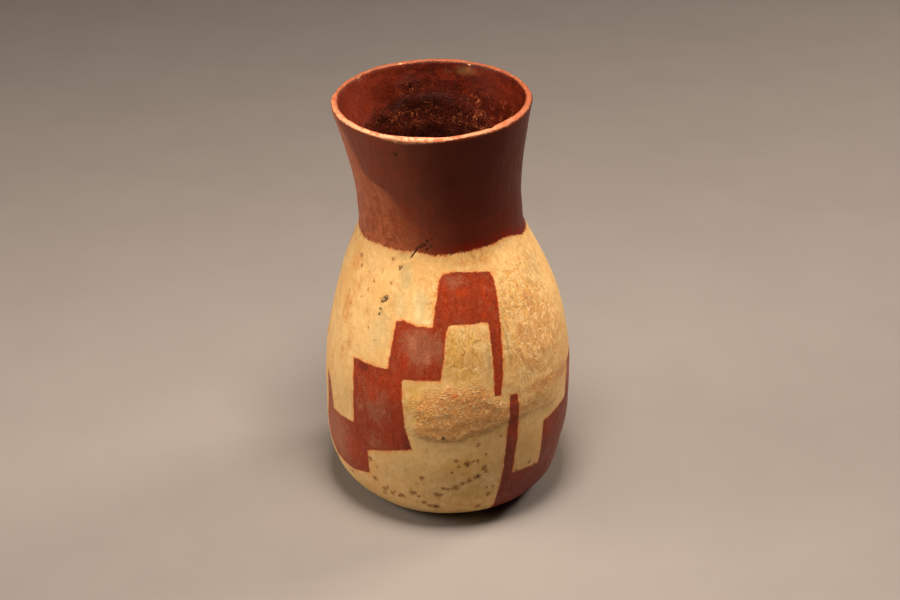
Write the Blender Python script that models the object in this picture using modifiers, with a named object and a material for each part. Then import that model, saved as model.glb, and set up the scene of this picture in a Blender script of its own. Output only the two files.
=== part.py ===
"""A hand-built earthenware jug: a round belly on a small flat foot, and a wide neck that flares to a rounded lip.

Units are metres, +Z is up, and the jug stands on z = 0 with its belly centred on the Z axis. -Y is its front.
Girth angles are in degrees round the Z axis, 0 at the front (-Y) and 90 at the right (+X).
"""

import math

import bpy
import numpy as np

# Outer outline, with the height measured to the top of the lip
HEIGHT = 0.1862
FOOT_RADIUS = 0.0250
BELLY_RADIUS = 0.0548
BELLY_HEIGHT = 0.0600
NECK_RADIUS = 0.0354
NECK_HEIGHT = 0.1440
RIM_RADIUS = 0.0424

# The shoulder is an arch that would close this far above the belly if no neck rose out of it
SHOULDER_RISE = 0.1037

# How full each curve is: a higher power is a squarer curve
BOWL_POWER = 3.5
BOWL_ROUNDING = 0.30
SHOULDER_POWER = 1.62
FLARE_POWER = 1.33

# How softly the neck grows out of the shoulder
NECK_FILLET = 0.0010

# Walls
FLOOR_THICKNESS = 0.0075
BELLY_WALL = 0.0052
NECK_WALL = 0.0042
LIP_THICKNESS = 0.0032

# The lip is a half circle on top of the wall, so the outside's own curve ends this high
EDGE_HEIGHT = HEIGHT - LIP_THICKNESS / 2

# The neck leans to the jug's left from about the middle of the shoulder, and its mouth is a little out of level
LEAN_DEGREES = 3.95
LEAN_HEIGHT = 0.0872
LEAN_SOFTNESS = 0.0100
MOUTH_TILT_DEGREES = 1.15

# Places where the hand-built wall swells (+) or is flattened (-):
# girth angle, share of the jug's height, half width in degrees, half height as a share of its height, depth
HAND_MARKS = (
    (90.0, 0.12, 50.0, 0.05, -0.0013),
    (-95.0, 0.08, 50.0, 0.11, 0.0010),
    (-43.0, 0.03, 18.0, 0.09, -0.0021),
    (80.0, 0.46, 45.0, 0.12, 0.0006),
    (-60.0, 0.50, 40.0, 0.10, -0.0005),
    (170.0, 0.30, 45.0, 0.14, -0.0008),
)

# Facets
RING_SEGMENTS = 64
OUTER_POINTS = 27
INNER_POINTS = 20
LIP_POINTS = 4
OUTLINE_SAMPLES = 2000
POLE_MERGE = 0.00001

# Colours, linear
CREAM_SLIP = (0.62, 0.40, 0.16, 1.0)
RED_SLIP = (0.19, 0.035, 0.015, 1.0)
PAINT_LINE = 0.1340


def clear_scene():
    for thing in list(bpy.data.objects):
        bpy.data.objects.remove(thing, do_unlink=True)


def slip_material(name, colour, roughness):
    material = bpy.data.materials.new(name)
    material.use_nodes = True
    shader = material.node_tree.nodes["Principled BSDF"]
    shader.inputs["Base Color"].default_value = colour
    shader.inputs["Roughness"].default_value = roughness
    shader.inputs["Metallic"].default_value = 0.0
    material.diffuse_color = colour
    return material


def outer_radius(height):
    """Radius of the outside at each height: a full bowl below the belly, an arched shoulder and a flaring neck."""
    depth = np.clip((BELLY_HEIGHT - height) / BELLY_HEIGHT, 0.0, 1.0)
    bowl = FOOT_RADIUS + (BELLY_RADIUS - FOOT_RADIUS) * (1.0 - depth**BOWL_POWER) ** BOWL_ROUNDING
    rise = np.clip((height - BELLY_HEIGHT) / SHOULDER_RISE, 0.0, 1.0)
    shoulder = BELLY_RADIUS * (1.0 - rise**SHOULDER_POWER) ** (1.0 / SHOULDER_POWER)
    climb = np.clip((height - NECK_HEIGHT) / (EDGE_HEIGHT - NECK_HEIGHT), 0.0, 1.0)
    neck = NECK_RADIUS + (RIM_RADIUS - NECK_RADIUS) * climb**FLARE_POWER
    joined = neck + NECK_FILLET * np.logaddexp(0.0, (shoulder - neck) / NECK_FILLET)
    return np.where(height < BELLY_HEIGHT, bowl, joined)


def wall_thickness(height):
    """Thickest at the foot, thinner up the belly and the neck, and thinnest at the lip."""
    return np.interp(
        height,
        [0.0, BELLY_HEIGHT, NECK_HEIGHT, EDGE_HEIGHT],
        [FLOOR_THICKNESS, BELLY_WALL, NECK_WALL, LIP_THICKNESS],
    )


def lay_evenly(points, count):
    """count points at equal steps along a polyline, its two ends included."""
    steps = np.linalg.norm(np.diff(points, axis=0), axis=1)
    along = np.concatenate([[0.0], np.cumsum(steps)])
    wanted = np.linspace(0.0, along[-1], count)
    return np.stack([np.interp(wanted, along, points[:, axis]) for axis in (0, 1)], axis=1)


def section_outline():
    """(radius, height) points of the wall's section, from the floor's middle up the inside and down the outside."""
    # Samples crowd towards the foot, where the bowl turns in fastest.
    share = np.linspace(0.0, 1.0, OUTLINE_SAMPLES) ** 3
    heights = EDGE_HEIGHT * share
    outer = np.stack([outer_radius(heights), heights], axis=1)
    along = np.gradient(outer, axis=0)
    along /= np.linalg.norm(along, axis=1, keepdims=True)
    inward = np.stack([-along[:, 1], along[:, 0]], axis=1)
    inner = outer + inward * wall_thickness(heights)[:, None]
    floor = np.array([[0.0, inner[0, 1]]])

    # The lip is a half circle from the top of the outside over to the top of the inside.
    lip_centre = (outer[-1] + inner[-1]) / 2
    outward = (outer[-1] - inner[-1]) / 2
    turns = np.linspace(0.0, math.pi, LIP_POINTS + 2)[1:-1]
    lip = lip_centre + np.outer(np.cos(turns), outward) + np.outer(np.sin(turns), along[-1] * LIP_THICKNESS / 2)

    foot_middle = np.array([[0.0, 0.0]])
    inside = np.concatenate([floor, lay_evenly(inner, INNER_POINTS)])
    outside = np.concatenate([lay_evenly(outer, OUTER_POINTS)[::-1], foot_middle])
    return np.concatenate([inside, lip[::-1], outside])


def turned_wall(name, outline):
    """The outline as an edge loop, swept round Z by a Screw modifier and kept as a plain mesh."""
    profile = bpy.data.meshes.new(name + "_outline")
    profile.from_pydata(
        [(radius, 0.0, height) for radius, height in outline],
        [(i, i + 1) for i in range(len(outline) - 1)],
        [],
    )
    spun = bpy.data.objects.new(name + "_outline", profile)
    bpy.context.scene.collection.objects.link(spun)
    screw = spun.modifiers.new("turn", "SCREW")
    screw.axis = "Z"
    screw.angle = math.tau
    screw.steps = RING_SEGMENTS
    screw.render_steps = RING_SEGMENTS
    screw.use_merge_vertices = True
    screw.merge_threshold = POLE_MERGE
    graph = bpy.context.evaluated_depsgraph_get()
    mesh = bpy.data.meshes.new_from_object(spun.evaluated_get(graph))
    mesh.name = name
    bpy.data.objects.remove(spun, do_unlink=True)
    return mesh


def hand_marks(girth, height):
    """How far the wall stands out at each place, as the sum of soft round swellings and flats."""
    total = np.zeros_like(height)
    for angle, level, half_width, half_height, depth in HAND_MARKS:
        away = (girth - angle + 180.0) % 360.0 - 180.0
        up = (height / HEIGHT - level) / half_height
        total += depth * np.exp(-((away / half_width) ** 2) - up**2)
    # The foot stays a flat circle.
    return total * np.clip(height / FLOOR_THICKNESS, 0.0, 1.0)


def shape_by_hand(mesh):
    """Moves the turned wall's points: hand marks first, then the mouth's tilt, then the neck's lean."""
    points = np.empty(len(mesh.vertices) * 3, np.float32)
    mesh.vertices.foreach_get("co", points)
    points = points.reshape(-1, 3).astype(float)
    x, y, z = points.T
    radius = np.hypot(x, y)
    girth = np.degrees(np.arctan2(x, -y))
    grown = 1.0 + hand_marks(girth, z) / BELLY_RADIUS * np.clip(radius / BELLY_RADIUS, 0.0, 1.0)
    x, y = x * grown, y * grown
    climb = np.clip((z - NECK_HEIGHT) / (EDGE_HEIGHT - NECK_HEIGHT), 0.0, None)
    lean = np.tan(np.radians(LEAN_DEGREES)) * LEAN_SOFTNESS * np.logaddexp(0.0, (z - LEAN_HEIGHT) / LEAN_SOFTNESS)
    tilted = z + np.tan(np.radians(MOUTH_TILT_DEGREES)) * climb * x
    mesh.vertices.foreach_set("co", np.stack([x - lean, y, tilted], axis=1).astype(np.float32).ravel())
    mesh.update()


def paint_neck(mesh):
    """Gives the faces of the neck and the lip the red slip, and leaves the belly in cream."""
    for face in mesh.polygons:
        face.material_index = 1 if face.center.z > PAINT_LINE else 0


def make_jug(collection):
    mesh = turned_wall("jug", section_outline())
    shape_by_hand(mesh)
    mesh.materials.clear()
    mesh.materials.append(slip_material("cream_slip", CREAM_SLIP, 0.55))
    mesh.materials.append(slip_material("red_slip", RED_SLIP, 0.40))
    paint_neck(mesh)
    mesh.shade_smooth()
    jug = bpy.data.objects.new("jug", mesh)
    collection.objects.link(jug)
    return jug


def main():
    clear_scene()
    collection = bpy.data.collections.new("bichrome_jug")
    bpy.context.scene.collection.children.link(collection)
    make_jug(collection)


main()
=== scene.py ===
"""A small hand-built earthenware jug: a cream-slipped belly with stepped bands in red, and a red neck.

Meshes are in metres, +Z up, and the jug stands on z = 0 with its painted front towards -Y. Sizes below are
in millimetres. A place on the wall is its girth angle in degrees, 0 at the front and 90 at the right, and
its height.
"""

import itertools
import math
from types import SimpleNamespace

import bpy
import numpy as np
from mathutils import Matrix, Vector


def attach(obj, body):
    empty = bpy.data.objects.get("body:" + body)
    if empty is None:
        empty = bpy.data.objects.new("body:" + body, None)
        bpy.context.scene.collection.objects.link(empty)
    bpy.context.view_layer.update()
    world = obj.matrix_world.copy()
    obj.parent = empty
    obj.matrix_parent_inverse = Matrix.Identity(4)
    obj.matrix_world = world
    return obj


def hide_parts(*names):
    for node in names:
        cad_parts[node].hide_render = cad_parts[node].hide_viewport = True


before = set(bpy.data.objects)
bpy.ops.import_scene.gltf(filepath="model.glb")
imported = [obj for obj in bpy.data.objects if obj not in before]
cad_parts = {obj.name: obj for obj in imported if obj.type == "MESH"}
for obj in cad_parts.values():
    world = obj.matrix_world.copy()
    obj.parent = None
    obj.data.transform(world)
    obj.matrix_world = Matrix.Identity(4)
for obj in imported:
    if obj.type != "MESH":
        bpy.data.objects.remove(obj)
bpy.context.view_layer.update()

# The view
# The jug is seen from 0.89 m away and 29 degrees above the table, square to its painted front, through an
# 80 mm lens on a frame 36 mm wide.
VIEW_DISTANCE = 0.889
VIEW_RISE = math.radians(29.22)
VIEW_AIM = Vector((0.00104, 0.0, 0.08865))
LENS = 80.0
FRAME_WIDTH = 36.0

view_lens = bpy.data.cameras.new("view")
view_lens.lens = LENS
view_lens.sensor_width = FRAME_WIDTH
view = bpy.data.objects.new("view", view_lens)
view.location = VIEW_AIM + VIEW_DISTANCE * Vector((0.0, -math.cos(VIEW_RISE), math.sin(VIEW_RISE)))
view.rotation_euler = (math.pi / 2 - VIEW_RISE, 0.0, 0.0)
bpy.context.scene.collection.objects.link(view)
bpy.context.scene.camera = view

# The clay wall
# The real wall is one piece of clay, built up and scraped by hand: a full bowl on a small flat foot, an
# arched shoulder, and a neck that flares to a rounded lip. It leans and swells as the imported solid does.
MILLIMETRE = 0.001
HEIGHT = 186.2
FOOT_RADIUS = 25.0
BELLY_RADIUS = 54.8
BELLY_HEIGHT = 60.0
NECK_RADIUS = 35.4
NECK_HEIGHT = 144.0
RIM_RADIUS = 42.4
SHOULDER_RISE = 103.7
BOWL_POWER = 3.5
BOWL_ROUNDING = 0.30
SHOULDER_POWER = 1.62
FLARE_POWER = 1.33
NECK_FILLET = 1.0
FLOOR_THICKNESS = 7.5
BELLY_WALL = 5.2
NECK_WALL = 4.2
LIP_THICKNESS = 3.2
EDGE_HEIGHT = HEIGHT - LIP_THICKNESS / 2
LEAN_DEGREES = 3.95
LEAN_HEIGHT = 87.2
LEAN_SOFTNESS = 10.0
MOUTH_TILT_DEGREES = 1.15

# Swellings and flats: girth angle, share of the height, half width in degrees, half height as a share, depth
HAND_MARKS = (
    (90.0, 0.12, 50.0, 0.05, -1.3),
    (-95.0, 0.08, 50.0, 0.11, 1.0),
    (-43.0, 0.03, 18.0, 0.09, -2.1),
    (80.0, 0.46, 45.0, 0.12, 0.6),
    (-60.0, 0.50, 40.0, 0.10, -0.5),
    (170.0, 0.30, 45.0, 0.14, -0.8),
)

# The grid: one column a degree, and rows about a millimetre apart wherever the wall can be seen
COLUMNS = 360
UNDERSIDE_ROWS = 6
OUTSIDE_ROWS = 184
LIP_ROWS = 9
THROAT_ROWS = 50
THROAT_DEPTH = 56.0
STORE_ROWS = 17
FLOOR_ROWS = 4
OUTLINE_SAMPLES = 4000


def half_turn(angle):
    """The same direction, as an angle from -180 to 180 degrees."""
    return (angle + 180.0) % 360.0 - 180.0


def outer_radius(height):
    """A full bowl below the belly, and above it an arched shoulder blended into a flaring neck."""
    depth = np.clip((BELLY_HEIGHT - height) / BELLY_HEIGHT, 0.0, 1.0)
    bowl = FOOT_RADIUS + (BELLY_RADIUS - FOOT_RADIUS) * (1.0 - depth**BOWL_POWER) ** BOWL_ROUNDING
    rise = np.clip((height - BELLY_HEIGHT) / SHOULDER_RISE, 0.0, 1.0)
    shoulder = BELLY_RADIUS * (1.0 - rise**SHOULDER_POWER) ** (1.0 / SHOULDER_POWER)
    climb = np.clip((height - NECK_HEIGHT) / (EDGE_HEIGHT - NECK_HEIGHT), 0.0, 1.0)
    neck = NECK_RADIUS + (RIM_RADIUS - NECK_RADIUS) * climb**FLARE_POWER
    joined = neck + NECK_FILLET * np.logaddexp(0.0, (shoulder - neck) / NECK_FILLET)
    return np.where(height < BELLY_HEIGHT, bowl, joined)


def lay_evenly(points, count):
    """count points at equal steps along a polyline, its two ends included."""
    steps = np.linalg.norm(np.diff(points, axis=0), axis=1)
    along = np.concatenate([[0.0], np.cumsum(steps)])
    wanted = np.linspace(0.0, along[-1], count)
    return np.stack([np.interp(wanted, along, points[:, axis]) for axis in (0, 1)], axis=1)


def wall_rows():
    """Each row's radius, height and run. The rows go from the foot's middle up the outside, over the lip and
    down the inside to the floor's middle. The run is the way from the lip's crest, below 0 outside and above
    0 inside."""
    heights = EDGE_HEIGHT * np.linspace(0.0, 1.0, OUTLINE_SAMPLES) ** 3
    outer = np.stack([outer_radius(heights), heights], axis=1)
    along = np.gradient(outer, axis=0)
    along /= np.linalg.norm(along, axis=1, keepdims=True)
    wall = np.interp(
        heights,
        [0.0, BELLY_HEIGHT, NECK_HEIGHT, EDGE_HEIGHT],
        [FLOOR_THICKNESS, BELLY_WALL, NECK_WALL, LIP_THICKNESS],
    )
    inner = (outer + np.stack([-along[:, 1], along[:, 0]], axis=1) * wall[:, None])[::-1]
    turns = np.linspace(0.0, math.pi, LIP_ROWS + 2)[1:-1]
    lip = (outer[-1] + inner[0]) / 2 + np.outer(np.cos(turns), (outer[-1] - inner[0]) / 2)
    lip += np.outer(np.sin(turns), along[-1] * LIP_THICKNESS / 2)
    deep = np.searchsorted(np.cumsum(np.linalg.norm(np.diff(inner, axis=0), axis=1)), THROAT_DEPTH)
    underside = np.linspace(0.0, 1.0, UNDERSIDE_ROWS + 1)[1:-1, None] * outer[0]
    shrink = np.linspace(1.0, 0.0, FLOOR_ROWS + 1)[1:-1, None]
    floor = shrink * inner[-1] * (1.0, 0.0) + inner[-1] * (0.0, 1.0)
    rows = np.concatenate(
        [
            underside,
            lay_evenly(outer, OUTSIDE_ROWS),
            lip,
            lay_evenly(inner[: deep + 1], THROAT_ROWS),
            lay_evenly(inner[deep:], STORE_ROWS)[1:],
            floor,
        ]
    )
    run = np.concatenate([[0.0], np.cumsum(np.linalg.norm(np.diff(rows, axis=0), axis=1))])
    crest = len(underside) + OUTSIDE_ROWS + LIP_ROWS // 2
    return rows[:, 0], rows[:, 1], run - run[crest]


def hand_shaped(radius, height, girth):
    """The turned wall with its hand marks, the mouth's tilt and the neck's lean, in that order."""
    marks = np.zeros(np.broadcast(height, girth).shape)
    for angle, level, half_width, half_height, depth in HAND_MARKS:
        away = half_turn(girth - angle) / half_width
        marks += depth * np.exp(-(away**2) - ((height / HEIGHT - level) / half_height) ** 2)
    marks *= np.clip(height / FLOOR_THICKNESS, 0.0, 1.0)
    grown = radius * (1.0 + marks / BELLY_RADIUS * np.clip(radius / BELLY_RADIUS, 0.0, 1.0))
    x = grown * np.sin(np.radians(girth))
    y = -grown * np.cos(np.radians(girth))
    climb = np.clip((height - NECK_HEIGHT) / (EDGE_HEIGHT - NECK_HEIGHT), 0.0, None)
    above = LEAN_SOFTNESS * np.logaddexp(0, (height - LEAN_HEIGHT) / LEAN_SOFTNESS)
    lean = math.tan(math.radians(LEAN_DEGREES)) * above
    tilted = height + math.tan(math.radians(MOUTH_TILT_DEGREES)) * climb * x
    return np.stack([x - lean, y, tilted], axis=-1)


row_radius, row_height, row_run = (values[:, None] for values in wall_rows())
column_girth = (np.arange(COLUMNS) * 360.0 / COLUMNS - 180.0)[None, :]
wall = hand_shaped(row_radius, row_height, column_girth)
girth = np.broadcast_to(column_girth, wall.shape[:2])
height = np.broadcast_to(row_height, wall.shape[:2])
run = np.broadcast_to(row_run, wall.shape[:2])
outside = run < 0.0
per_degree = np.radians(1.0) * row_radius

# The painted slip
# Red slip was brushed over the burnished cream: the neck and mouth all round, and on the belly three bands
# that climb in steps from a thin rising bar to a block with a thin bar hanging from it.
NECK_LINE = (
    (-130, 129.5), (-82, 129), (-66, 128), (-44, 129.4), (-29, 130), (-16, 131), (-4, 130), (9, 130.3),
    (21, 131), (35, 131.3), (52, 131.8), (74, 127), (100, 125.5), (140, 128.5),
)
FRONT_BAND = (
    (-76, 62), (-71, 58), (-69.5, 53.5), (-68, 45), (-58.5, 46), (-49, 47.5), (-48.5, 65), (-50, 79.3),
    (-36, 80), (-28.7, 80.5), (-28, 90), (-26.3, 101.5), (-22, 102.8), (-15, 101.4), (-6.5, 101.3),
    (-4.4, 111), (-2, 120.3), (1, 122.4), (9.5, 123.3), (31, 121.3), (32.8, 118.5), (30.5, 103.6),
    (28.5, 90.5), (27.2, 79.5), (25.3, 69), (22, 69.6), (22.7, 86.6), (23, 102), (2, 102.2), (0, 97),
    (-1, 88.5), (-3, 78.6), (-21.4, 77.4), (-19.7, 54.6), (-16.3, 44), (-27.7, 40.5), (-40.2, 36.4),
    (-40.5, 23.5), (-54, 19.3), (-68.7, 20.2), (-76.5, 26.5), (-79, 34), (-77, 44), (-75.5, 52),
)
SIDE_BAND_START = (
    (24.2, -1), (25, 17), (26.5, 28), (28.4, 52), (29.4, 62), (30, 68.5), (34, 67.8), (34.4, 55.5),
    (32.2, 27), (49, 25.5), (50.4, 47.5), (58.7, 49), (72.5, 49.7), (74, 66), (86, 67.3),
)
SIDE_BAND_FOOT = ((75.0, 14.0), (70.0, -1.0))
SIDE_STEP_WIDTH = 21.0
SIDE_STEP_RISE = 18.5
SIDE_BLOCK_TOP = 122.5
SIDE_BLOCK_WIDTH = 6.0
SIDE_BLOCK_HEIGHT = 1.1 * SIDE_STEP_RISE
SIDE_BAR_DROP = 2.5 * SIDE_STEP_RISE
SIDE_BAR_LEAN = 3.0
SIDE_TOE_HEIGHT = 22.0
BACK_BAND_START = 157.0
BACK_BAND_HEIGHTS = (44.0, 76.0, 100.0, 121.0)
BACK_BAND_DROP = 22.0
BACK_STEP_WIDTH = 24.0
BACK_BLOCK_WIDTH = 1.3 * BACK_STEP_WIDTH
BACK_BAR_DROP = 52.0
BACK_BAR_LEAN = 4.0
BAR_WIDTH = 5.0
BAR_RISE = 20.0
FAR_OUTSIDE = -60.0


def side_band():
    """The band that starts at the right of the front: its steps climb on round the back at an even width and
    rise, and their undersides come down again to the foot, one block lower. Corners stray by a degree or two,
    as a hand's do."""
    corners = list(SIDE_BAND_START)
    edge, top = corners[-1]
    undersides = []
    while top < SIDE_BLOCK_TOP - SIDE_STEP_RISE / 2:
        edge += SIDE_STEP_WIDTH / 2
        undersides.append((edge + SIDE_STEP_WIDTH / 4, top))
        top = min(top + SIDE_STEP_RISE, SIDE_BLOCK_TOP)
        corners += [(edge, top - SIDE_STEP_RISE), (edge + 1.0, top), (edge + SIDE_STEP_WIDTH / 2, top + 0.5)]
        edge += SIDE_STEP_WIDTH / 2
    end = edge + SIDE_BLOCK_WIDTH
    bar, bar_foot = end - SIDE_BAR_LEAN, top - SIDE_BAR_DROP
    corners += [(end, top), (bar, bar_foot), (bar - BAR_WIDTH, bar_foot)]
    corners += [(end - BAR_WIDTH - 1.0, top - SIDE_STEP_RISE)]
    for right, level in reversed(undersides):
        corners += [(right, level - 1.0), (right - 2.0, level - SIDE_BLOCK_HEIGHT)]
    return corners + [(corners[-1][0] - 3.0, SIDE_TOE_HEIGHT), *SIDE_BAND_FOOT]


def back_band():
    """The band at the back: four blocks in rising steps, each BACK_BAND_DROP deep, with a rising bar on the
    first and a hanging bar on the last. Corners stray by a degree or two, as a hand's do."""
    left = BACK_BAND_START
    first = BACK_BAND_HEIGHTS[0]
    corners = [(left, first + BAR_RISE), (left + BAR_WIDTH, first + BAR_RISE), (left + BAR_WIDTH, first)]
    for level, higher in zip(BACK_BAND_HEIGHTS, BACK_BAND_HEIGHTS[1:]):
        left += BACK_STEP_WIDTH
        corners += [(left, level), (left + 1.5, higher)]
    right = left + BACK_BLOCK_WIDTH + BAR_WIDTH
    top = BACK_BAND_HEIGHTS[-1]
    bar, bar_foot = right - BACK_BAR_LEAN, top - BACK_BAR_DROP
    corners += [(right, top), (bar, bar_foot), (bar - BAR_WIDTH, bar_foot)]
    right -= BAR_WIDTH + 1.0
    for level, lower in zip(BACK_BAND_HEIGHTS[::-1], BACK_BAND_HEIGHTS[-2::-1]):
        corners += [(right, level - BACK_BAND_DROP + 3.0)]
        right -= BACK_STEP_WIDTH
        corners += [(right, level - BACK_BAND_DROP), (right - 1.0, lower - BACK_BAND_DROP)]
    return corners + [(BACK_BAND_START, first - BACK_BAND_DROP)]


def depth_inside(corners):
    """How far each place on the outside is within a closed outline, in millimetres, and below 0 beyond it:
    the distance to the nearest edge, with its sign from how often a line to one side crosses the outline."""
    middle = np.mean([corner[0] for corner in corners]) % 360.0
    across = half_turn(girth % 360.0 - middle)
    near = np.full(wall.shape[:2], np.inf)
    within = np.zeros(wall.shape[:2], bool)
    for (g0, h0), (g1, h1) in zip(corners, corners[1:] + corners[:1]):
        x0 = half_turn(g0 - middle) * per_degree
        x1 = half_turn(g1 - middle) * per_degree
        x, y = across * per_degree - x0, height - h0
        dx, dy = x1 - x0, h1 - h0
        share = np.clip((x * dx + y * dy) / np.maximum(dx * dx + dy * dy, 1e-9), 0.0, 1.0)
        near = np.minimum(near, np.hypot(x - share * dx, y - share * dy))
        if h0 != h1:
            within ^= ((height >= h0) != (height >= h1)) & (x < (height - h0) * dx / dy)
    return np.where(outside, np.where(within, near, -near), FAR_OUTSIDE)


neck_girths, neck_heights = np.array(NECK_LINE).T
neck_depth = height - np.interp(girth, neck_girths, neck_heights, period=360.0)
neck_depth = np.where(outside, neck_depth, HEIGHT - np.mean(neck_heights))
bands = (list(FRONT_BAND), side_band(), back_band())
band_depth = np.max([depth_inside(corners) for corners in bands], axis=0)

# Wear and the maker's marks
# Scraping and burnishing left soft facets and upright strokes. Use and burial left the rest: a crusted
# patch across the front, pits and nicks, a crack below the neck, dark specks near the foot and a rough
# dark throat, whose darkening deep inside is painted shade.

# Patches of tone on the outside: girth, height, half girth, half height, strength. A tone's place in the list
# also seeds its patches on the side that the photograph doesn't show.
TONES = {
    # Pale patches high on the front, left of the middle, are a painted highlight; the rest are paler slip
    "pale": (
        (-13, 111, 6, 8, 0.7), (-14, 105, 3, 4, 0.9), (-9, 103.5, 4, 1.6, 0.9), (-24, 108, 5, 9, 0.55),
        (-50, 120, 25, 8, 0.3), (-36, 96, 9, 14, 0.5), (-46, 72, 7, 14, 0.45), (-22, 119, 6, 8, 0.5),
        (-56, 62, 7, 16, 0.3), (-20, 34, 14, 8, 0.4), (-30, 27, 8, 8, 0.35), (0, 44, 10, 5, 0.3),
    ),
    # A painted highlight: small bright streaks of sheen high on the belly, left of the front
    "cream_highlight": (
        (-14.5, 106.5, 2.4, 4, 1.1), (-9.5, 103.4, 3.4, 1.1, 1.1), (-16.5, 113, 1.8, 5, 0.8),
        (-20, 103.6, 2.4, 1, 0.8), (-12, 116, 1.4, 4, 0.6),
    ),
    "grey": (
        (-23, 121, 4.5, 7, 0.8), (-27, 112, 5, 9, 0.5), (-33, 100, 6, 12, 0.4), (-26, 129, 6, 4, 0.5),
        (31.9, 97, 1.6, 16, 0.8), (20.8, 86, 1.3, 9, 0.9), (-44, 70, 5, 14, 0.3), (60, 96, 7, 10, 0.25),
        (10, 22, 40, 16, 0.3), (66, 116, 16, 12, 0.55), (-1.6, 51.3, 2.2, 1.4, 0.9),
    ),
    "blush": (
        (-65, 118, 6, 4.5, 0.9), (-63, 97, 5, 8, 0.9), (-57, 92, 5, 5, 0.4), (16, 126.3, 9, 1.8, 0.8),
        (29, 126, 7, 2.2, 0.8), (-13, 120, 4, 6, 0.45), (-70, 70, 4, 12, 0.4), (13, 12, 9, 3, 0.5),
        (46, 118, 7, 5, 0.5),
    ),
    "tan": (
        (44, 79, 4.5, 5, 0.95), (52, 105, 4, 6, 0.95), (42, 94, 3.5, 5, 0.95), (62, 90, 6, 9, 0.5),
        (36, 108, 3, 10, 0.5), (50, 67.5, 13, 2.6, 1), (64, 66, 10, 4, 0.8), (36, 60, 8, 5, 0.6),
        (24, 62, 6, 5, 0.5), (56, 88, 24, 26, 0.48), (-50, 116, 3, 2.5, 0.6), (-56, 110, 2.5, 3, 0.6),
        (-40, 120, 3, 2, 0.5), (-46, 101, 2, 3, 0.5), (-55, 84, 3, 6, 0.5), (-60, 78, 3, 5, 0.5),
    ),
    "ochre": (
        (4, 90, 5, 12, 0.8), (13, 92, 5, 12, 0.6), (8, 81, 8, 5, 0.8), (-15, 68, 5, 8, 0.9),
        (-12, 60, 6, 7, 0.8), (6, 36, 14, 8, 0.5), (-2, 112, 5, 9, 0.5), (44, 112, 6, 12, 0.4),
        (10, 20, 14, 8, 0.5),
    ),
    "streaky": (
        (50, 98, 26, 30, 1.2), (10, 90, 14, 16, 0.9), (-4, 113, 5, 12, 0.9), (-14, 66, 6, 10, 0.5),
        (18, 128, 22, 5, 0.7), (-60, 105, 30, 30, 0.35),
    ),
    "smear": (
        (3.6, 71.8, 2.4, 1.5, 1.1), (6.5, 73.4, 1.6, 1, 0.8),
    ),
    "bright_red": (
        (11, 115, 5, 2.4, 0.9), (24.5, 113, 2.2, 7, 0.9), (1, 113, 1.6, 8, 0.9), (12, 108, 8, 2.6, 0.5),
        (24.3, 74.5, 3, 3.5, 1.1), (-33, 75, 6, 2.6, 0.8), (-24, 73, 3, 7, 1), (-36, 66, 4, 4, 0.7),
        (-20.5, 86, 2.6, 4, 1), (-8, 79.5, 7, 1.4, 0.9), (62, 55, 8, 3, 0.6), (-24, 58, 3, 5, 0.7),
        (-38, 52, 5, 3, 0.5), (22, 105, 3, 3, 0.7), (27.5, 90, 3, 15, 0.7), (-52, 33, 7, 8, 0.6),
    ),
    "dusty_red": (
        (-13, 92, 9, 9, 1), (-4, 92, 4, 8, 0.7), (-64, 34, 15, 15, 0.85), (-36, 42, 8, 5, 0.5),
        (-70, 50, 8, 14, 0.6), (7, 119.5, 9, 3.5, 0.55), (-34, 61, 9, 12, 0.62), (78, 62, 8, 10, 0.5),
    ),
    "rubbed": (
        (-17, 93, 3, 3.5, 1), (-9, 87.5, 2.4, 2.6, 1), (-44, 58, 2.6, 5, 0.8), (-30, 60, 3, 4, 0.6),
        (-64, 30, 4, 3, 0.7),
    ),
    "dark_red": (
        (-43, 77.5, 5, 2.4, 1), (29, 34, 4, 16, 0.7), (36, 10, 22, 14, 1.2), (64, 20, 26, 20, 1.2),
        (72, 40, 16, 14, 1.1), (-18.5, 47, 2.6, 6, 1), (31, 55, 1.2, 8, 0.5), (28, 131.5, 34, 1.6, 0.5),
    ),
}
# Where the neck's painted light meets the lip's painted shadow: height, girth angle
NECK_SHADOW_EDGE = (
    (130, -17), (136, -19), (147, -26), (152.5, -30), (158, -35), (160.5, -46), (163, -54), (172, -59),
    (186, -68),
)
# Where the neck's painted light fades out at the back, and where its painted shade begins, is full and ends
NECK_PAINTED_LIGHT_FROM = -160.0
NECK_PAINTED_LIGHT_FADE = 40.0
NECK_PAINTED_SHADE_FROM = -24.0
NECK_PAINTED_SHADE_FULL = 16.0
NECK_PAINTED_SHADE_BACK = (120.0, 170.0)
TURN_SOFT_BELOW = 158.0
SEEN_ONLY = ("smear", "streaky", "cream_highlight")
UNSEEN_SIDE = (95.0, 275.0)
UNSEEN_PATCHES = 7
UNSEEN_SEED = 40
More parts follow.
